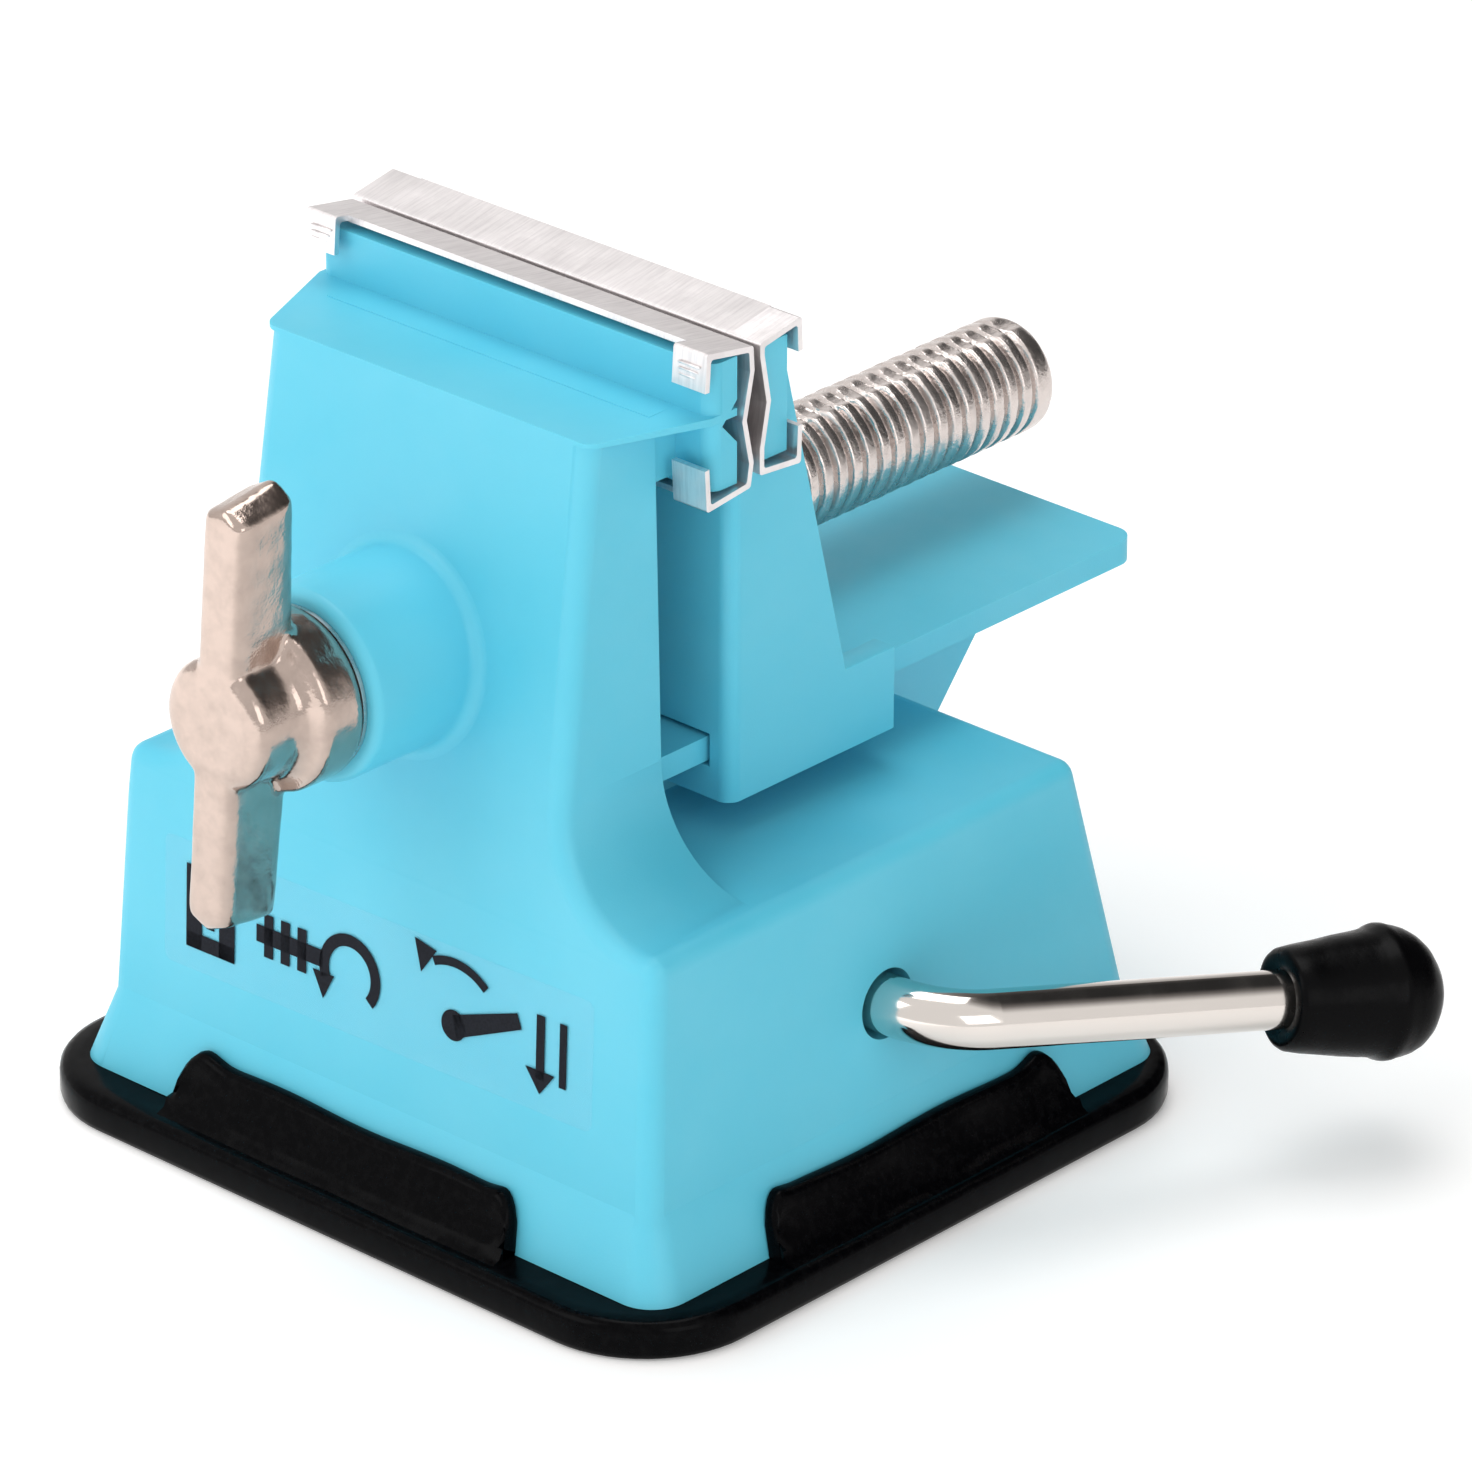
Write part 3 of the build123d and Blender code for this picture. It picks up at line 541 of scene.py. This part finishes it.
shank_profile, along = [], collar_rear - 0.3
while along < shank_end:
    shank_profile.append(along)
    along += 0.09 if along > thread_from - 0.3 else 0.3
shank_profile.append(shank_end)
shank_verts = []
for y in shank_profile:
    for k in range(ring):
        turn, out = around_screw(k)
        place = Vector((0, y, screw_z)) + out * shank_radius(y, turn)
        if y > thread_from:
            place += out * 0.035 * noise.fractal(place / 1.1, 1.0, 2.0, 3)
        shank_verts.append(place)
cap_rings = [0.66, 0.33]
for share in cap_rings:
    for k in range(ring):
        turn, out = around_screw(k)
        rise = CAP_RISE * (1 - share * share)
        centre = Vector((0, shank_end - CAP_RISE + rise, screw_z))
        shank_verts.append(centre + out * share * shank_radius(shank_end, turn))
shank_faces = grid_faces(len(shank_profile) + len(cap_rings), ring, wrap_cols=True)
shank_faces += [tuple(range(ring)), tuple(range(len(shank_verts) - ring, len(shank_verts)))]
shank = make_object("threaded_shank", shank_verts, shank_faces, THREAD, "screw", 70)
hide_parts("clamp_screw")

# ------------------------------------------------- pressed marks on the liner's tabs
liner_low, liner_high = box_mm("fixed_jaw_liner")
marks = []
MARK_COUNT, MARK_STEP, MARK_R, MARK_END_R = 3, 0.42, 0.09, 0.02
for left_end in (liner_low[0] + 0.45, liner_high[0] - 2.3):
    for k in range(MARK_COUNT):
        start = (left_end, liner_low[1] + 0.02 + 0.035 * k, liner_high[2] - 0.95 - MARK_STEP * k)
        profile = [
            (0.0, MARK_END_R), (0.1, MARK_R), (1.75 - 0.2 * k, MARK_R), (1.85 - 0.2 * k, MARK_END_R)
        ]
        marks.append(lathe(profile, start, (1, 0, 0), 16))
finish_piece(
    "tab_marks", closed_mesh("tab_marks", marks), ALUMINIUM, "base", 50
)

# ------------------------------------------------------------- suction pad
pad_low, pad_high = box_mm("suction_pad")
pad_x, pad_y = pad_high[0], (pad_high[1] - pad_low[1]) / 2
pad_mid = (pad_low[1] + pad_high[1]) / 2
SHEET, CORNER, BOSS_RISE = 2.6, 8.4, 0.75
UNDERSIDE, DISH = 0.42, 0.35


def pad_outline(inset, steps=14, side=26):
    """Rounded square, run round once, pulled in by inset."""
    half_x, half_y, r = pad_x - inset, pad_y - inset, max(0.6, CORNER - inset)
    points = []
    for quarter, (sx, sy) in enumerate(((1, -1), (1, 1), (-1, 1), (-1, -1))):
        centre = Vector((sx * (half_x - r), pad_mid + sy * (half_y - r), 0))
        start = math.radians(-90 + 90 * quarter)
        arc = [
            centre + r * Vector((math.cos(start + a), math.sin(start + a), 0))
            for a in (math.pi / 2 * k / steps for k in range(steps + 1))
        ]
        following = ((1, 1), (-1, 1), (-1, -1), (1, -1))[quarter]
        centre_2 = Vector((following[0] * (half_x - r), pad_mid + following[1] * (half_y - r), 0))
        turn = start + math.pi / 2
        goal = centre_2 + r * Vector((math.cos(turn), math.sin(turn), 0))
        points += arc
        points += [arc[-1].lerp(goal, k / side) for k in range(1, side)]
    return points


# From the underside round the rim to the top: (inset, height)
PAD_SECTION = [
    (4.2, UNDERSIDE), (1.9, 0.18), (1.0, 0.0), (0.45, 0.0), (0.12, 0.16), (0.0, 0.55),
    (0.0, 1.75), (0.08, 2.15), (0.34, 2.47), (0.75, SHEET), (1.5, SHEET), (3.0, SHEET - 0.02),
    (6.0, SHEET - 0.05),
]


def pulled_in(point, share, height):
    """A point of the pad's outline moved towards the pad's middle."""
    return Vector((point.x * share, pad_mid + (point.y - pad_mid) * share, height))


pad_rings = [pad_outline(inset) for inset, _ in PAD_SECTION]
around = len(pad_rings[0])
dish = [(share, UNDERSIDE + DISH * (1 - share ** 2)) for share in (0.12, 0.35, 0.6, 0.82)]
pad_verts = []
for share, height in dish:
    pad_verts += [pulled_in(point, share, height) for point in pad_rings[0]]
for points, (inset, height) in zip(pad_rings, PAD_SECTION):
    for point in points:
        place, ripple = Vector((point.x, point.y, height)), 0
        if height > 0.3:
            ripple = 0.05 * noise.noise(place * 0.16)
        pad_verts.append(Vector((point.x, point.y, height + ripple)))
top_shares = (0.7, 0.4, 0.15)
for share in top_shares:
    top = SHEET - 0.05 + (BOSS_RISE if share < 0.5 else 0.0)
    pad_verts += [pulled_in(point, share, top) for point in pad_rings[-1]]
rows = len(dish) + len(PAD_SECTION) + len(top_shares)
pad_faces = grid_faces(rows, around, wrap_cols=True)
pad_faces += [tuple(range(around)), tuple(range(len(pad_verts) - around, len(pad_verts)))]


# The foot of the housing's walls, from the axis, and how far each leans in per millimetre of height
FRONT_WALL, SIDE_WALL, REAR_WALL = (24.1, 0.315), (26.1, 0.361), (25.3, 0.352)
TAB_THICK = 1.25


def tab(turn, wall, lean_in, low, high, humps):
    """A soft finger tab on the side that turn faces, leaning in with the wall of the shell.

    It runs from low to high along the wall; humps are (place, height, spread) on its top edge.
    """
    out = Vector((math.cos(turn), math.sin(turn), 0))
    side = Vector((-math.sin(turn), math.cos(turn), 0))
    cols, ring_at = 90, []
    for i in range(cols):
        t = i / (cols - 1)
        s = low + (high - low) * t
        end = min(1.0, min(s - low, high - s) / 1.9)
        edge = math.sqrt(max(0.0, 1 - (1 - end) ** 2))
        top = 3.0 + (3.3 + 0.10 * math.sin(s * 0.42 + turn)) * edge
        for at, tall, spread in humps:
            top += tall * math.exp(-(((s - at) / spread) ** 2))
        swell = 0.16 * noise.noise(Vector((s * 0.22, turn * 3, 0))) - 0.1 * (1 - edge)
        thick = TAB_THICK
        heights = (SHEET - 0.9, (SHEET + top) / 2, top - 0.35)
        section = [(wall - lean_in * (h - SHEET) + 0.06, h) for h in heights]
        crown = wall - lean_in * (top - SHEET)
        section += [
            (crown + 0.2, top - 0.06), (crown + 0.5, top + 0.03), (crown + thick - 0.3, top - 0.05),
            (crown + thick, top - 0.4), (crown + thick + 0.12 + swell, top - 1.1),
            (wall + thick + 0.05 + swell, SHEET + 0.9), (wall + thick + 0.35 + swell, SHEET + 0.25),
            (wall + thick + 0.95, SHEET - 0.05), (wall + thick + 1.0, SHEET - 0.9),
        ]
        ring_at.append([out * r + side * s + Vector((0, 0, h)) for r, h in section])
    count = len(ring_at[0])
    verts = [point for points in ring_at for point in points]
    faces = grid_faces(cols, count, wrap_cols=True)
    faces += [tuple(range(count)), tuple(range(len(verts) - count, len(verts)))]
    return verts, faces


pad_parts = [
    (pad_verts, pad_faces),
    tab(-math.pi / 2, *FRONT_WALL, -16.1, 14.1, ((-14.2, 0.5, 1.5), (12.6, 0.25, 1.2))),
    tab(0, *SIDE_WALL, -13.5, 15.0, ((13.2, 0.5, 1.4), (-12.0, 0.2, 1.2))),
    tab(math.pi / 2, *REAR_WALL, -15.0, 15.0, ((-13.0, 0.4, 1.4),)),
    tab(math.pi, *SIDE_WALL, -15.0, 15.0, ((13.0, 0.4, 1.4),)),
]
pad_mesh = closed_mesh("rubber_pad", pad_parts)
rubber_pad = finish_piece("rubber_pad", pad_mesh, RUBBER, "base", 60)
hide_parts("suction_pad")

# ------------------------------------------------- clear film and its pictograms
film_low, film_high = box_mm("label_film")
film_tilt = math.radians(1.3)
film_centre = Vector(middle("label_film"))
film_half_x, film_half_z, film_corner = 19.0, 4.45, 0.6
lean_back = Vector((0, film_high[1] - film_low[1] - 0.12, film_high[2] - film_low[2])).normalized()
film_right = Vector((1, 0, 0)) * math.cos(film_tilt) + lean_back * math.sin(film_tilt)
film_right = film_right.normalized()
film_out = film_right.cross(lean_back).normalized()
film_up = film_out.cross(film_right)


def plate(outline, lift, thick):
    """A thin plate on the film: outline in its own right and up, lifted off its middle plane."""
    count = len(outline)
    verts = [
        film_centre + film_right * u + film_up * v + film_out * (lift + side * thick)
        for side in (0, 1) for u, v in outline
    ]
    faces = [tuple(range(count))[::-1], tuple(range(count, 2 * count))]
    faces += [(i, (i + 1) % count, count + (i + 1) % count, count + i) for i in range(count)]
    return verts, faces


def bar(u0, v0, u1, v1):
    return [(u0, v0), (u1, v0), (u1, v1), (u0, v1)]


def disc(u, v, r, count=40):
    return [
        (u + r * math.cos(2 * math.pi * k / count), v + r * math.sin(2 * math.pi * k / count))
        for k in range(count)
    ]


def swept_arc(u, v, r, half, start, stop, count=24):
    """A thick arc from start to stop degrees."""
    turns = [math.radians(start + (stop - start) * k / count) for k in range(count + 1)]
    outer = [(u + (r + half) * math.cos(a), v + (r + half) * math.sin(a)) for a in turns]
    inner = [(u + (r - half) * math.cos(a), v + (r - half) * math.sin(a)) for a in reversed(turns)]
    return outer + inner


film_shape = [
    (
        sx * (film_half_x - film_corner) + film_corner * math.cos(a),
        sy * (film_half_z - film_corner) + film_corner * math.sin(a),
    )
    for quarter, (sx, sy) in enumerate(((1, 1), (-1, 1), (-1, -1), (1, -1)))
    for a in (math.radians(90 * quarter + 15 * k) for k in range(7))
]
film_parts = [plate(film_shape, -0.03, 0.06)]
film_piece = finish_piece(
    "clear_label", closed_mesh("clear_label", film_parts), FILM, "base", 30
)
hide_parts("label_film")

# A bracket with a board in it, a screw with a turning arrow, a lever with a swing arrow, and a
# downward arrow beside a bar, from left to right
symbols = [
    bar(-17.0, -2.9, -15.6, 2.9), bar(-16.9, -2.9, -12.6, -1.8), bar(-14.0, -2.9, -12.6, 2.9),
    bar(-15.15, -1.2, -14.45, 3.3),
    bar(-10.6, -0.6, -4.6, 0.6), bar(-9.9, -1.5, -9.1, 1.5), bar(-8.4, -1.5, -7.6, 1.5),
    bar(-6.9, -1.5, -6.1, 1.5),
    swept_arc(-2.2, -0.3, 2.3, 0.42, -40, 200), [(-5.5, -0.9), (-3.6, -0.9), (-4.55, -2.7)],
    disc(7.0, -0.9, 1.05), [(7.3, -1.7), (12.9, 0.7), (12.5, 1.7), (6.9, -0.2)],
    swept_arc(7.0, -0.9, 4.3, 0.3, 50, 115), [(4.1, 1.9), (5.4, 3.7), (3.5, 4.1)],
    bar(14.2, -2.2, 14.9, 2.2), [(13.3, -1.6), (15.8, -1.6), (14.55, -3.2)],
    bar(16.2, -2.2, 16.8, 2.2),
]
ink_parts = [plate(shape, 0.035, 0.03) for shape in symbols]
finish_piece(
    "label_symbols", closed_mesh("label_symbols", ink_parts), INK, "base", 30
)

# ------------------------------------------------------------- lever's knob
knob_aim = Vector((0.404, 0.907, -0.132)).normalized()


def axis_start(node, aim):
    """Point on a round node's own axis where the node begins."""
    points = [v.co / MM for v in frame["nodes"][node].data.vertices]
    across = aim.orthogonal().normalized()
    other = aim.cross(across)
    spans = [[p.dot(way) for p in points] for way in (across, other)]
    centre = sum(((min(s) + max(s)) / 2 * w for s, w in zip(spans, (across, other))), Vector())
    return centre + aim * min(p.dot(aim) for p in points)


# Skirt, long cone, bead and domed end: (along, radius)
KNOB = [
    (0.25, 1.9), (0.0, 2.3), (0.0, 2.95), (0.12, 3.2), (0.4, 3.38), (1.4, 3.55), (2.8, 3.72),
    (4.2, 3.92), (5.4, 4.07), (6.2, 4.18), (6.6, 4.29), (6.9, 4.44), (7.2, 4.52), (7.55, 4.5),
    (7.85, 4.4), (8.3, 4.32), (8.9, 4.16), (9.5, 3.86), (10.1, 3.36), (10.6, 2.7),
    (10.95, 1.85), (11.15, 0.95), (11.2, 0.2),
]
knob_verts, knob_faces = lathe(
    KNOB, axis_start("lever_knob", knob_aim), knob_aim, count=72, wobble=0.12
)
knob = make_object("dipped_knob", knob_verts, knob_faces, GRIP, "lever", 70)
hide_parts("lever_knob")

# -------------------------------------------------------------------- camera
CAMERA_AZIMUTH, CAMERA_ELEVATION, CAMERA_ROLL = (math.radians(a) for a in (42.52, 25.785, 0.184))
CAMERA_DISTANCE, CAMERA_LENS = 620.6, 234.98
AIM_RIGHT, AIM_HEIGHT = 7.93, 26.03

back = Vector((
    math.sin(CAMERA_AZIMUTH) * math.cos(CAMERA_ELEVATION),
    -math.cos(CAMERA_AZIMUTH) * math.cos(CAMERA_ELEVATION),
    math.sin(CAMERA_ELEVATION),
))
right = Vector((math.cos(CAMERA_AZIMUTH), math.sin(CAMERA_AZIMUTH), 0))
up = back.cross(right)
target = right * AIM_RIGHT + Vector((0, 0, AIM_HEIGHT))
rolled_right = right * math.cos(CAMERA_ROLL) + up * math.sin(CAMERA_ROLL)
rolled_up = up * math.cos(CAMERA_ROLL) - right * math.sin(CAMERA_ROLL)

camera_data = bpy.data.cameras.new("camera")
camera_data.lens = CAMERA_LENS
camera_data.sensor_width = 36
camera_data.clip_start, camera_data.clip_end = 0.01, 20
camera = bpy.data.objects.new("camera", camera_data)
bpy.context.scene.collection.objects.link(camera)
pose = Matrix((rolled_right, rolled_up, back)).transposed().to_4x4()
pose.translation = (target + back * CAMERA_DISTANCE) * MM
camera.matrix_world = pose
bpy.context.scene.camera = camera

# ------------------------------------------------------- floor, room and lights
floor_mesh = bpy.data.meshes.new("floor")
reach = 6.0  # metres
floor_corners = [(-reach, -reach, 0), (reach, -reach, 0), (reach, reach, 0), (-reach, reach, 0)]
floor_mesh.from_pydata(floor_corners, [], [(0, 1, 2, 3)])
floor = bpy.data.objects.new("floor", floor_mesh)
bpy.context.scene.collection.objects.link(floor)
floor.location.z = -0.05 * MM
glowing_paper, paper_tree, paper_shader = new_material("glowing_paper", (0.88, 0.875, 0.87), 0.6)
paper_shader.inputs["Specular IOR Level"].default_value = 0.2
fibre = noise_node(paper_tree, coords(paper_tree), 0.05, 3)
paper_tree.links.new(
    ramp(paper_tree, fibre, [(0.3, (0.87, 0.865, 0.86)), (0.7, (0.89, 0.885, 0.88))]),
    paper_shader.inputs["Base Color"],
)
# Painted light: the floor glows, faintly everywhere and more strongly towards the front left, so
# its glow lights the object and shows in its reflections like a lamp.
paper_shader.inputs["Emission Color"].default_value = (1, 1, 1, 1)
where = add_node(paper_tree, "ShaderNodeTexCoord")
towards = add_node(paper_tree, "ShaderNodeVectorMath", operation="DOT_PRODUCT")
towards.inputs[1].default_value = (-0.6, -0.8, 0)
paper_tree.links.new(where.outputs["Object"], towards.inputs[0])
glow = ramp(
    paper_tree, towards.outputs["Value"], [(0.0, grey(0.2)), (0.035, grey(0.3)), (0.12, grey(0.8))]
)
paper_tree.links.new(glow, paper_shader.inputs["Emission Strength"])
floor_mesh.materials.append(glowing_paper)

# The room: pale everywhere but for a dark wall behind the object
world = bpy.data.worlds.new("room")
bpy.context.scene.world = world
world.use_nodes = True
room = world.node_tree
sky = room.nodes["Background"]
direction = add_node(room, "ShaderNodeTexCoord")
behind = add_node(room, "ShaderNodeVectorMath", operation="DOT_PRODUCT")
behind.inputs[1].default_value = Vector((0.18, 0.83, 0.5)).normalized()
room.links.new(direction.outputs["Generated"], behind.inputs[0])
wall = ramp(
    room, behind.outputs["Value"],
    [(0.62, (0.96, 0.95, 0.94)), (0.80, (0.20, 0.19, 0.185)), (0.88, (0.03, 0.03, 0.03))],
)
room.links.new(wall, sky.inputs["Color"])
sky.inputs["Strength"].default_value = 0.96


def softbox(name, place, size, power, aim=(0, 0, 28)):
    lamp = bpy.data.lights.new(name, "AREA")
    lamp.shape = "RECTANGLE"
    lamp.size, lamp.size_y = (s * MM for s in size)
    lamp.energy = power
    obj = bpy.data.objects.new(name, lamp)
    bpy.context.scene.collection.objects.link(obj)
    obj.location = Vector(place) * MM
    obj.rotation_euler = (Vector(aim) - Vector(place)).to_track_quat("-Z", "Y").to_euler()
    return obj


softbox("key", (-420, -900, 760), (700, 700), 2.8)
softbox("fill", (900, -260, 420), (500, 500), 1.2)
softbox("top", (-160, 160, 900), (520, 520), 2.5)

bpy.context.scene.view_settings.view_transform = "Standard"
